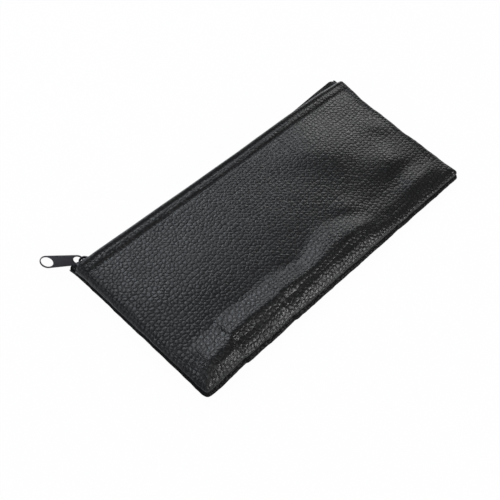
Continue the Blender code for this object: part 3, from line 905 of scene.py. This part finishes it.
# Panels
FRONT = Panel(1, (FRONT_ROLL_FOOT, FRONT_ROLL_MOUTH), (FRONT_FOOT_HEIGHT, FRONT_MOUTH_HEIGHT))
BACK = Panel(-1, (BACK_ROLL, BACK_ROLL), (BACK_EDGE_LIFT, BACK_EDGE_LIFT))


def make_panels():
    skin = add("front_leather", cloth_mesh("front_leather", FRONT.points(), 1), [GRAINED, KNIT])
    halves(thicken(skin, SKIN, -1, 1), ["front_panel"])
    skin = add("back_leather", cloth_mesh("back_leather", BACK.points(), -1), [GRAINED_BACK, KNIT])
    rides(thicken(skin, SKIN, -1, 1), "back", ["back_panel"])


make_panels()


# Small solids
def solid(outlines, thickness, bevel):
    """A plate about z = 0 with rounded edges; the outlines after the first are holes."""
    curve = bpy.data.curves.new("outline", "CURVE")
    curve.dimensions = "2D"
    curve.fill_mode = "BOTH"
    curve.extrude = thickness / 2 - bevel
    curve.bevel_depth = bevel
    curve.bevel_resolution = 2
    curve.offset = -bevel
    for index, points in enumerate(outlines):
        area = sum(a[0] * b[1] - b[0] * a[1] for a, b in zip(points, points[1:] + points[:1]))
        if (area > 0) == (index > 0):
            points = points[::-1]
        spline = curve.splines.new("POLY")
        spline.points.add(len(points) - 1)
        for point, (x, y) in zip(spline.points, points):
            point.co = (x, y, 0, 1)
        spline.use_cyclic_u = True
    obj = bpy.data.objects.new("outline", curve)
    bpy.context.scene.collection.objects.link(obj)
    bpy.context.view_layer.update()
    mesh = bpy.data.meshes.new_from_object(obj.evaluated_get(bpy.context.evaluated_depsgraph_get()))
    bpy.data.objects.remove(obj)
    bm = bmesh.new()
    bm.from_mesh(mesh)
    bmesh.ops.remove_doubles(bm, verts=bm.verts, dist=1e-6)
    bmesh.ops.recalc_face_normals(bm, faces=bm.faces)
    bm.to_mesh(mesh)
    bm.free()
    return mesh


def gather(name, parts):
    """One mesh of many copies: each part is a mesh and its places."""
    points, faces, count = [], [], 0
    for mesh, places in parts:
        corners = [vert.co.copy() for vert in mesh.vertices]
        sides = [tuple(face.vertices) for face in mesh.polygons]
        for place in places:
            points += [place @ corner for corner in corners]
            faces += [tuple(index + count for index in face) for face in sides]
            count += len(corners)
    made = bpy.data.meshes.new(name)
    made.from_pydata(points, [], faces)
    return made


def soft_edges(mesh):
    mesh.shade_smooth()
    mesh.set_sharp_from_angle(angle=SHARP_FROM)
    return mesh


def arc(centre, radius, start, end, steps):
    turns = [start + (end - start) * k / steps for k in range(steps + 1)]
    return [(centre[0] + radius * math.cos(turn), centre[1] + radius * math.sin(turn)) for turn in turns]


def rounded(points, radius, steps=4):
    """An outline with its corners cut round by quadratic bends."""
    made = []
    count = len(points)
    for index, point in enumerate(points):
        here = Vector(point)
        ends = []
        for other in (points[index - 1], points[(index + 1) % count]):
            step = Vector(other) - here
            ends.append(here + step * min(0.5, radius / step.length))
        for k in range(steps + 1):
            t = k / steps
            bend = ends[0] * (1 - t) ** 2 + here * 2 * t * (1 - t) + ends[1] * t**2
            made.append((bend.x, bend.y))
    return made


# Zip
ZIP_FRAME = Matrix.Translation((0, ZIP_Y, ZIP_Z)) @ Matrix.Rotation(-math.pi / 2, 4, "X")
TEETH_START = SLIDER_X - SLIDER_LENGTH / 2 + WEDGE_LENGTH + TOOTH_PITCH / 2
TEETH_END = STOP_X - STOP_LENGTH / 2 - TOOTH_PITCH
ZIP_HALF = STOP_X + STOP_LENGTH / 2 + 2 * CLEARANCE

# Outline of a tooth, in mm
TOOTH = (
    *((-0.80, -2.60), (-0.66, -2.75), (0.66, -2.75), (0.80, -2.60), (0.80, -1.10), (0.66, -0.95)),
    *((0.30, -0.90), (0.29, -0.35), (0.48, 0.28), (0.43, 0.62), (0.27, 0.80), (-0.27, 0.80)),
    *((-0.43, 0.62), (-0.48, 0.28), (-0.29, -0.35), (-0.30, -0.90), (-0.66, -0.95), (-0.80, -1.10)),
)


def teeth_mesh(name, side):
    outline = [(x * MM, side * y * MM) for x, y in TOOTH]
    tooth = solid([outline], TOOTH_THICKNESS, TOOTH_EDGE)
    shift = 0 if side > 0 else TOOTH_PITCH / 2
    count = int((TEETH_END - TEETH_START - shift) / TOOTH_PITCH)
    starts = [TEETH_START + shift + k * TOOTH_PITCH for k in range(count + 1)]
    places = [ZIP_FRAME @ Matrix.Translation((x, 0, 0)) for x in starts]
    return soft_edges(gather(name, [(tooth, places)]))


def tape_mesh(name, side):
    """A woven strip from inside the teeth round a bend to its edge inside the bag."""
    centre = (ZIP_Y - TAPE_BEND, ZIP_Z + side * SLIDER_WIDTH / 2)
    bend = arc(centre, TAPE_BEND, 0, side * math.pi / 2, BEND_STEPS)
    inner_y = (FRONT_MOUTH_Y if side > 0 else BACK_MOUTH_Y) - TAPE_TUCK
    inner_half = half_width(inner_y) - FRONT_ROLL_FOOT
    line = [(ZIP_HALF, ZIP_Y, ZIP_Z + side * edge) for edge in (TAPE_INNER_EDGE, TAPE_EDGE)]
    line += [(ZIP_HALF - SKIN * k / BEND_STEPS, y, z) for k, (y, z) in enumerate(bend)]
    turned = line[-1]
    for k in range(1, TAPE_ROWS + 1):
        half = turned[0] + (inner_half - turned[0]) * k / TAPE_ROWS
        y = turned[1] + (inner_y - turned[1]) * k / TAPE_ROWS
        line.append((half, y, ZIP_Z + side * TAPE_LEVEL))
    bm = bmesh.new()
    uv = bm.loops.layers.uv.new("cloth")
    rows, runs, run = [], [], 0.0
    for index, (half, y, z) in enumerate(line):
        if index:
            run += math.hypot(y - line[index - 1][1], z - line[index - 1][2])
        runs.append(run)
        rows.append([bm.verts.new((half * (2 * k / TAPE_CELLS - 1), y, z)) for k in range(TAPE_CELLS + 1)])
    for index in range(len(line) - 1):
        for k in range(TAPE_CELLS):
            corners = ((index, k), (index, k + 1), (index + 1, k + 1), (index + 1, k))
            face = bm.faces.new([rows[a][b] for a, b in corners])
            face.smooth = True
            for loop, (a, b) in zip(face.loops, corners):
                loop[uv].uv = (rows[a][b].co.x, runs[a])
    return mesh_of(bm, name)


def copied(name, node):
    """A stop with its sharp edges taken off."""
    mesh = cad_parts[node].data.copy()
    mesh.materials.clear()
    obj = add(name, mesh, [ENAMELLED])
    edge = obj.modifiers.new("edge", "BEVEL")
    edge.width = STOP_EDGE
    edge.segments = 2
    edge.limit_method = "ANGLE"
    soft_edges(applied(obj).data)
    return obj


def make_zip():
    tape = thicken(add("front_tape", tape_mesh("front_tape", 1), [WOVEN]), TAPE_THICKNESS, 0)
    halves(tape, ["front_zip_tape"])
    tape = thicken(add("back_tape", tape_mesh("back_tape", -1), [WOVEN]), TAPE_THICKNESS, 0)
    rides(tape, "back", ["back_zip_tape"])
    halves(add("front_teeth", teeth_mesh("front_teeth", 1), [MOULDED]), ["front_zip_teeth"])
    teeth = add("back_teeth", teeth_mesh("back_teeth", -1), [MOULDED])
    rides(teeth, "back", ["back_zip_teeth"])
    halves(copied("front_stop", "front_top_stop"), ["front_top_stop"])
    rides(copied("back_stop", "back_top_stop"), "back", ["back_top_stop"])
    rides(copied("end_stop", "bottom_stop"), "back", ["bottom_stop"])


def make_slider():
    length, nose, tail = SLIDER_LENGTH / 2, SLIDER_WIDTH / 2, SLIDER_WIDTH / 2 - SLIDER_TAPER
    outline = rounded([(-length, -nose), (length, -tail), (length, tail), (-length, nose)], SLIDER_CORNER)
    plate = solid([outline], SLIDER_PLATE, SLIDER_EDGE)
    start = -length + CLEARANCE
    tip = start + WEDGE_LENGTH - CLEARANCE
    outline = [(start, -WEDGE_WIDTH / 2), (tip, 0), (start, WEDGE_WIDTH / 2)]
    wedge = solid([outline], CHANNEL + 2 * SLIDER_SUNK, WEDGE_EDGE)
    rail_x, rail_y = length - RAIL_SETBACK, SLIDER_RAIL / 2
    rail_height = (CHANNEL - SLIDER_SLOT) / 2 + SLIDER_SUNK
    outline = [(-rail_x, -rail_y), (rail_x, -rail_y), (rail_x, rail_y), (-rail_x, rail_y)]
    rail = solid([outline], rail_height, RAIL_EDGE)
    foot = -SLIDER_PLATE / 2
    half_span, top = BAIL_SPAN / 2, BAIL_RISE + BAIL_THICKNESS
    outer = [(half_span * c, top * h) for c, h in arc((0, 0), 1, 0, math.pi, BAIL_STEPS)]
    inner_span = half_span - BAIL_THICKNESS
    inner = [(inner_span * c, BAIL_RISE * h) for c, h in arc((0, 0), 1, math.pi, 0, BAIL_STEPS)]
    feet = [(outer[-1][0], foot), (inner[0][0], foot)]
    outline = outer + feet + inner + [(inner[-1][0], foot), (outer[0][0], foot)]
    bail = solid([outline], BAIL_WIDTH, BAIL_EDGE)
    here = ZIP_FRAME @ Matrix.Translation((SLIDER_X, 0, 0))
    plate_z = CHANNEL / 2 + SLIDER_PLATE / 2
    edge_y = (SLIDER_WIDTH - SLIDER_RAIL) / 2 - SLIDER_SUNK
    edge_z = (SLIDER_SLOT + rail_height) / 2
    corners = [(y, z) for y in (-edge_y, edge_y) for z in (-edge_z, edge_z)]
    upright = Matrix.Translation((0, 0, SLIDER_FACE)) @ Matrix.Rotation(math.pi / 2, 4, "X")
    parts = [
        (plate, [here @ Matrix.Translation((0, 0, z)) for z in (plate_z, -plate_z)]),
        (wedge, [here]),
        (rail, [here @ Matrix.Translation((0, y, z)) for y, z in corners]),
        (bail, [here @ upright]),
    ]
    slider = add("slider", soft_edges(gather("slider", parts)), [ENAMELLED])
    rides(slider, "slider", ["slider_body"])


def make_tab():
    eye_x = (EYE_RADIUS + EYE_HOLE_RADIUS) / 2
    ring_x = eye_x + TAB_LENGTH
    turn = math.pi - math.acos((RING_RADIUS - EYE_RADIUS) / TAB_LENGTH)
    edge = arc((ring_x, 0), RING_RADIUS, -turn, turn, RING_STEPS)
    edge += arc((eye_x, 0), EYE_RADIUS, turn, 2 * math.pi - turn, EYE_STEPS)
    ring_hole = arc((ring_x, 0), RING_HOLE_RADIUS, 0, 2 * math.pi, RING_STEPS)[:-1]
    eye_hole = arc((eye_x, 0), EYE_HOLE_RADIUS, 0, 2 * math.pi, EYE_STEPS)[:-1]
    mesh = solid([edge, ring_hole, eye_hole], TAB_THICKNESS, TAB_EDGE)
    pivot = Matrix.Translation((SLIDER_X, ZIP_Y + SLIDER_FACE + TAB_AXIS_RISE, ZIP_Z))
    swing = Matrix.Rotation(math.pi - TAB_SWING, 4, "Z")
    on_edge = Matrix.Rotation(math.pi / 2 + TAB_LEAN, 4, "X")
    mesh.transform(pivot @ swing @ on_edge @ Matrix.Rotation(-TAB_DIP, 4, "Z"))
    rides(add("tab", soft_edges(mesh), [ENAMELLED]), "tab", ["pull_tab"])


make_zip()
make_slider()
make_tab()


# Stitches
STITCH_PITCH = 0.0031
STITCH_LENGTH = 0.0026
STITCH_CELLS = 200
STITCH_FROM_ROLL = 0.002
STITCH_RINGS = 7
STITCH_SIDES = 6
THREAD = 0.0006
THREAD_RISE = 0.62
THREAD_SUNK = 0.42
THREAD_LEAST = 0.55
THREAD_SEAT = 0.0001


def sew(name, line):
    """Stitches along a line: each comes up through the cloth, lies on it and goes down again."""
    points = np.array(line)
    gaps = np.linalg.norm(np.diff(points, axis=0), axis=1)
    runs = np.concatenate([[0], np.cumsum(gaps)])

    def at(run):
        return Vector([np.interp(run, runs, points[:, k]) for k in range(3)])

    bm = bmesh.new()
    count = int(runs[-1] / STITCH_PITCH)
    for k in range(count):
        start = k * STITCH_PITCH
        along = (at(start + STITCH_LENGTH) - at(start)).normalized()
        across = along.cross(Vector((0, 0, 1))).normalized()
        up = across.cross(along)
        rings = []
        for ring in range(STITCH_RINGS):
            share = ring / (STITCH_RINGS - 1)
            rise = math.sqrt(math.sin(math.pi * share))
            middle = at(start + STITCH_LENGTH * share) + up * THREAD * (THREAD_RISE * rise - THREAD_SUNK)
            radius = THREAD / 2 * (THREAD_LEAST + (1 - THREAD_LEAST) * rise)
            circle = []
            for side in range(STITCH_SIDES):
                angle = 2 * math.pi * side / STITCH_SIDES
                out = math.cos(angle) * across + math.sin(angle) * up
                circle.append(bm.verts.new(middle + radius * out))
            rings.append(circle)
        for near, far in zip(rings, rings[1:]):
            for side in range(STITCH_SIDES):
                after = (side + 1) % STITCH_SIDES
                bm.faces.new((near[side], near[after], far[after], far[side])).smooth = True
        bm.faces.new(rings[0][::-1])
        bm.faces.new(rings[-1])
    bmesh.ops.recalc_face_normals(bm, faces=bm.faces)
    return add(name, mesh_of(bm, name), [THREADED])


def make_stitches():
    reach = half_width(FRONT_MOUTH_Y) - FRONT_ROLL_FOOT - STITCH_FROM_ROLL
    steps = [reach * (2 * k / STITCH_CELLS - 1) for k in range(STITCH_CELLS + 1)]
    for label, inset in (("edge", EDGE_STITCH_INSET), ("tape", TAPE_STITCH_INSET)):
        y = FRONT_MOUTH_Y - inset
        face_z = FRONT.level(RINGS, y) + THREAD_SEAT
        line = [(*FRONT.draw_in(x, y), face_z + front_relief(x, y)) for x in steps]
        halves(sew(f"front_{label}_stitch", line), [f"front_hem_{label}_stitch"])
    back_z = ZIP_Z - TAPE_LEVEL + TAPE_THICKNESS / 2 + THREAD_SEAT
    line = [(x, BACK_MOUTH_Y - TAPE_STITCH_INSET, back_z) for x in steps]
    rides(sew("back_tape_stitch", line), "back", ["back_hem_tape_stitch"])
    bend = CORNER_RADIUS / 2
    top_y = FRONT_MOUTH_Y - 2 * SEAM_TRIM_LENGTH
    foot_y = FOOT_Y + SEAM_STITCH_INSET
    seam_z = SEAM_HEIGHT + CLEARANCE / 2 + SKIN + THREAD_SEAT
    left = [(-(half_width(top_y) - SEAM_STITCH_INSET), top_y, seam_z)]
    for across, up in arc((bend, bend), bend, math.pi, 1.5 * math.pi, BEND_STEPS):
        y = foot_y + up
        left.append((-(half_width(y) - SEAM_STITCH_INSET - across), y, seam_z))
    right = [(-x, y, z) for x, y, z in reversed(left)]
    halves(sew("side_stitch", left + right), ["seam_stitch"])


make_stitches()


# Camera, floor and light
def make_camera():
    data = bpy.data.cameras.new("camera")
    data.sensor_width = SENSOR
    data.lens = SENSOR * FOCAL_PIXELS / IMAGE_PIXELS
    data.clip_start = CAMERA_NEAR
    camera = bpy.data.objects.new("camera", data)
    camera.location = CAMERA_PLACE
    camera.rotation_euler = CAMERA_TURN
    bpy.context.scene.collection.objects.link(camera)
    bpy.context.scene.camera = camera


FLOOR_SIZE = 6.0
FLOOR_DROP = 0.0001
# How far the floor glows white for each kind of ray
FLOOR_GLOW = {"Is Camera Ray": 0.97, "Is Glossy Ray": 0.2, "Is Transmission Ray": 0.93}


def make_floor():
    """A table that is white to the camera and dimmer in reflections, and still takes the bag's shadow."""
    bm = bmesh.new()
    bmesh.ops.create_grid(bm, x_segments=2, y_segments=2, size=FLOOR_SIZE / 2)
    finish = bpy.data.materials.new("white_table")
    finish.use_nodes = True
    finish.node_tree.nodes.clear()
    made = Nodes(finish.node_tree)
    seen = made.node("ShaderNodeLightPath").outputs
    camera, glossy, through = [made.math("MULTIPLY", seen[name], part) for name, part in FLOOR_GLOW.items()]
    most = made.math("MAXIMUM", made.math("MAXIMUM", camera, glossy), through)
    diffuse = made.node("ShaderNodeBsdfDiffuse", {"Color": WHITE}).outputs[0]
    glow = made.node("ShaderNodeEmission", {"Color": WHITE}).outputs[0]
    mix = made.node("ShaderNodeMixShader", {0: most, 1: diffuse, 2: glow}).outputs[0]
    made.node("ShaderNodeOutputMaterial", {"Surface": mix})
    floor = add("floor", mesh_of(bm, "floor"), [finish])
    floor.location.z = -FLOOR_DROP


SKY_WHITE = 0.38
SKY_HIGH = 0.085
SKY_SEEN = 0.97
SKY_WHITE_TO = 0.05
SKY_HIGH_FROM = 0.16


def make_sky():
    """White to the camera; it lights the bag from round the horizon, and less from overhead."""
    world = bpy.data.worlds.new("studio")
    bpy.context.scene.world = world
    world.use_nodes = True
    made = Nodes(world.node_tree)
    place = made.node("ShaderNodeTexCoord").outputs["Generated"]
    height = made.node("ShaderNodeSeparateXYZ", {0: place}).outputs["Z"]
    light = made.spread(height, SKY_WHITE_TO, SKY_HIGH_FROM, SKY_WHITE, SKY_HIGH)
    path = made.node("ShaderNodeLightPath").outputs
    seen = made.math("MULTIPLY", path["Is Camera Ray"], SKY_SEEN)
    sky = world.node_tree.nodes["Background"]
    made.feed(sky.inputs["Color"], WHITE)
    made.feed(sky.inputs["Strength"], made.math("MAXIMUM", light, seen))


# Lamps: direction from the bag, distance, width, height, power and colour
LAMPS = (
    ("back", (0.83, 0.441, 0.342), 1.3, 1.0, 0.55, 2.9, (1, 1, 1)),
    ("sheen", (0.72, 0.48, 0.50), 1.3, 0.36, 0.3, 1.5, (1, 1, 1)),
    ("window", (-0.02, 0.56, 0.828), 1.4, 0.8, 0.38, 3.8, (0.88, 0.94, 1)),
    ("rim", (0.24, 0.78, 0.575), 1.4, 0.45, 0.28, 3.9, (0.88, 0.94, 1)),
    ("front", (0.3, -0.87, 0.37), 1.2, 0.3, 0.3, 5.2, (1, 1, 1)),
    ("left", (-0.82, 0.36, 0.44), 1.2, 0.3, 0.3, 3.0, (0.85, 0.92, 1)),
    ("fill", (-0.45, -0.45, 0.77), 1.3, 0.8, 0.8, 2.8, (1, 1, 1)),
)


def make_lamps():
    for name, direction, distance, width, height, power, colour in LAMPS:
        data = bpy.data.lights.new(name, "AREA")
        data.shape = "RECTANGLE"
        data.size, data.size_y = width, height
        data.energy = power
        data.color = colour
        lamp = bpy.data.objects.new(name, data)
        towards = Vector(direction).normalized()
        lamp.location = towards * distance
        lamp.rotation_euler = towards.to_track_quat("Z", "Y").to_euler()
        bpy.context.scene.collection.objects.link(lamp)


make_camera()
make_floor()
make_sky()
make_lamps()
bpy.context.scene.view_settings.view_transform = "Standard"
